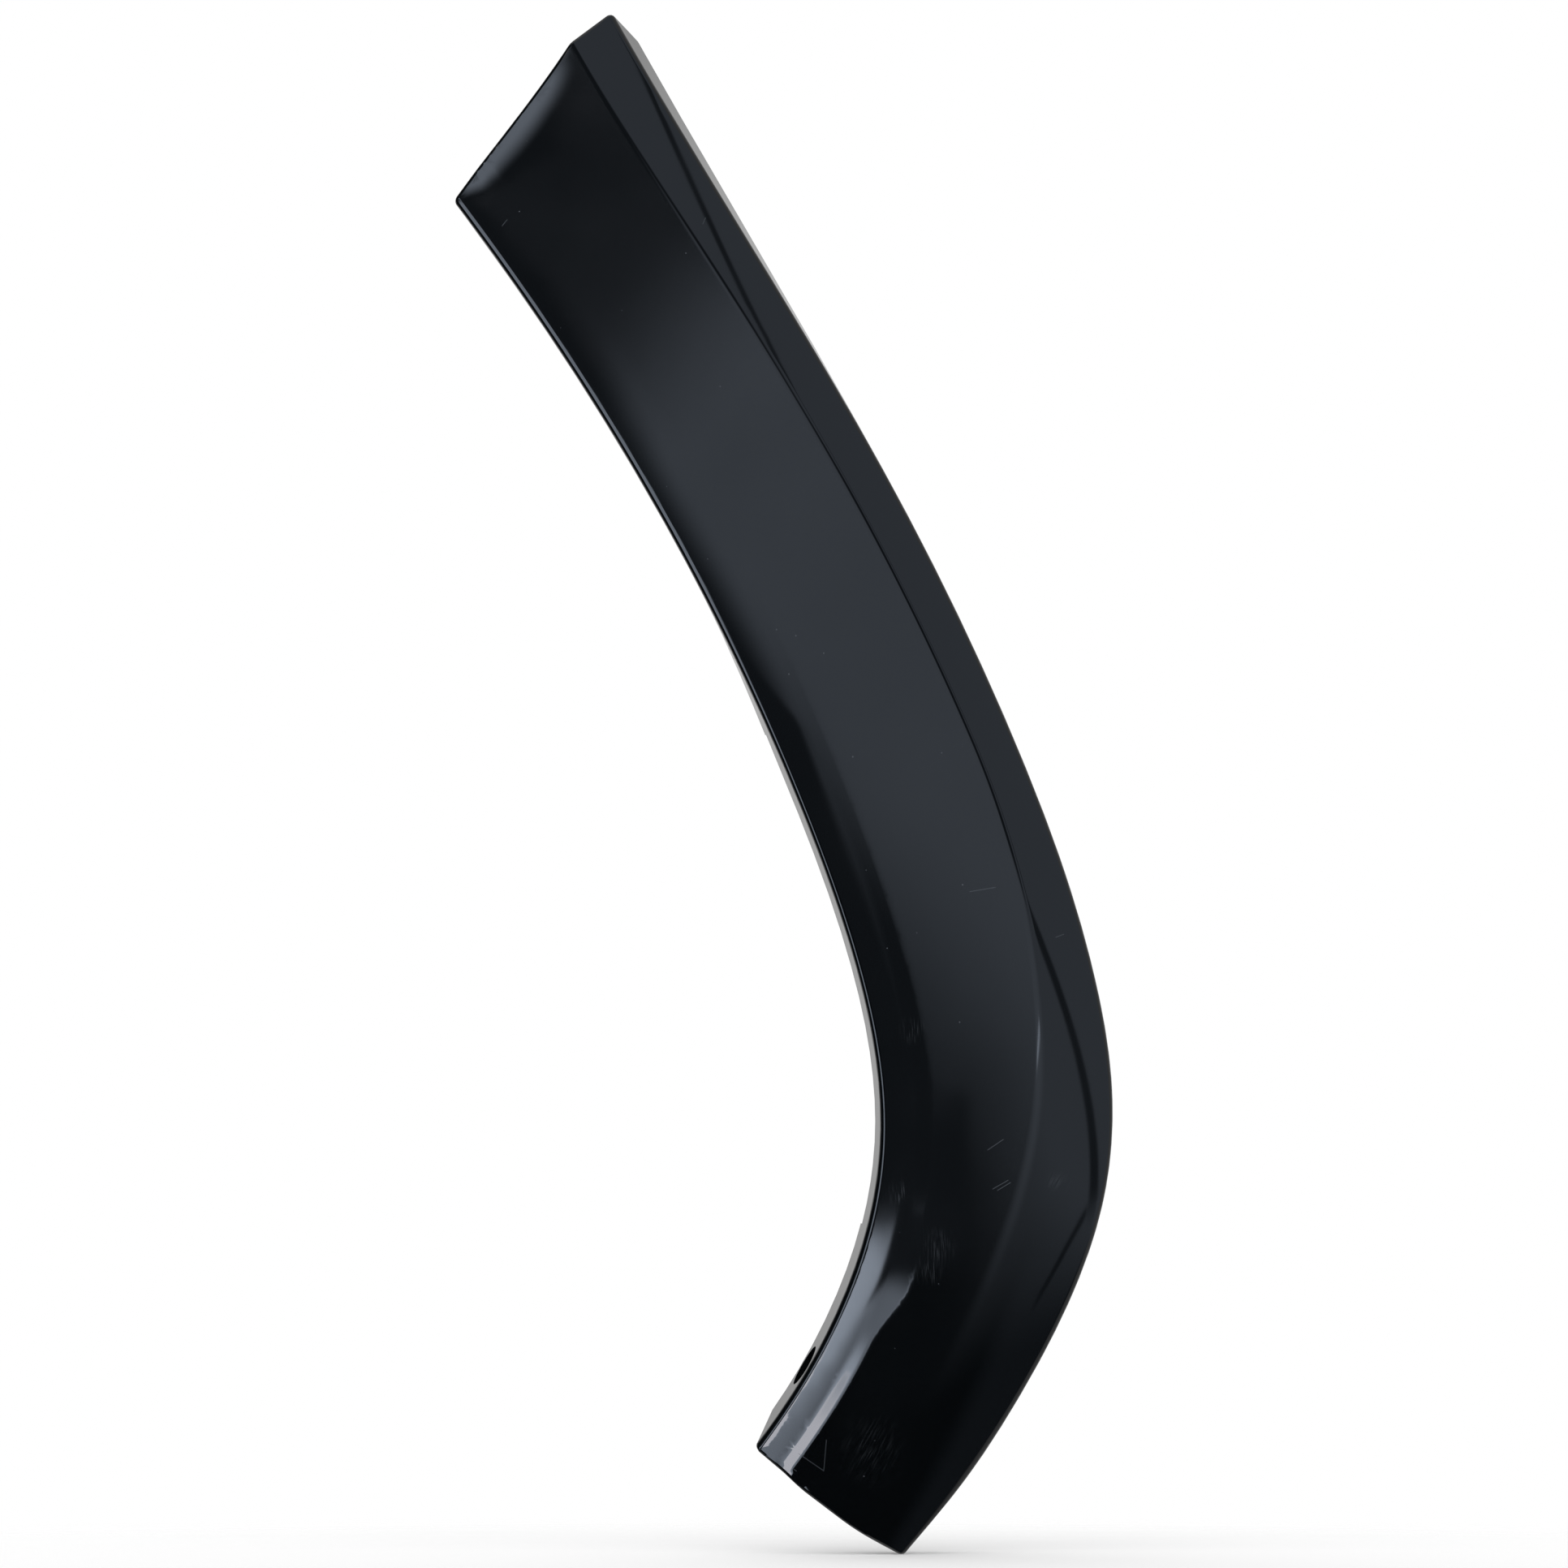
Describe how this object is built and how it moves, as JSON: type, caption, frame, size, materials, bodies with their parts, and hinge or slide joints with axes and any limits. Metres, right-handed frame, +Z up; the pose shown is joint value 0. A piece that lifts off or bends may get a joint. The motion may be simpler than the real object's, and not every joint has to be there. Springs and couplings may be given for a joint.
{
  "type": "wheel arch trim",
  "caption": "Curved gloss black wheel arch trim: a hollow moulded strip with a creased show face, raked ends, a liner fixing hole, and clip towers and ribs behind.",
  "frame": {"origin": "seat of the middle clip tower, 3 mm outboard of the rim that lies on the body panel", "axes": "+Z up, -Y outboard towards the show face, +X away from the wheel"},
  "size_m": [0.202, 0.023, 0.4727],
  "materials": {
    "gloss_black": "gloss"
  },
  "bodies": {
    "root": {"wheel_arch_trim": "gloss_black"}
  },
  "joints": []
}
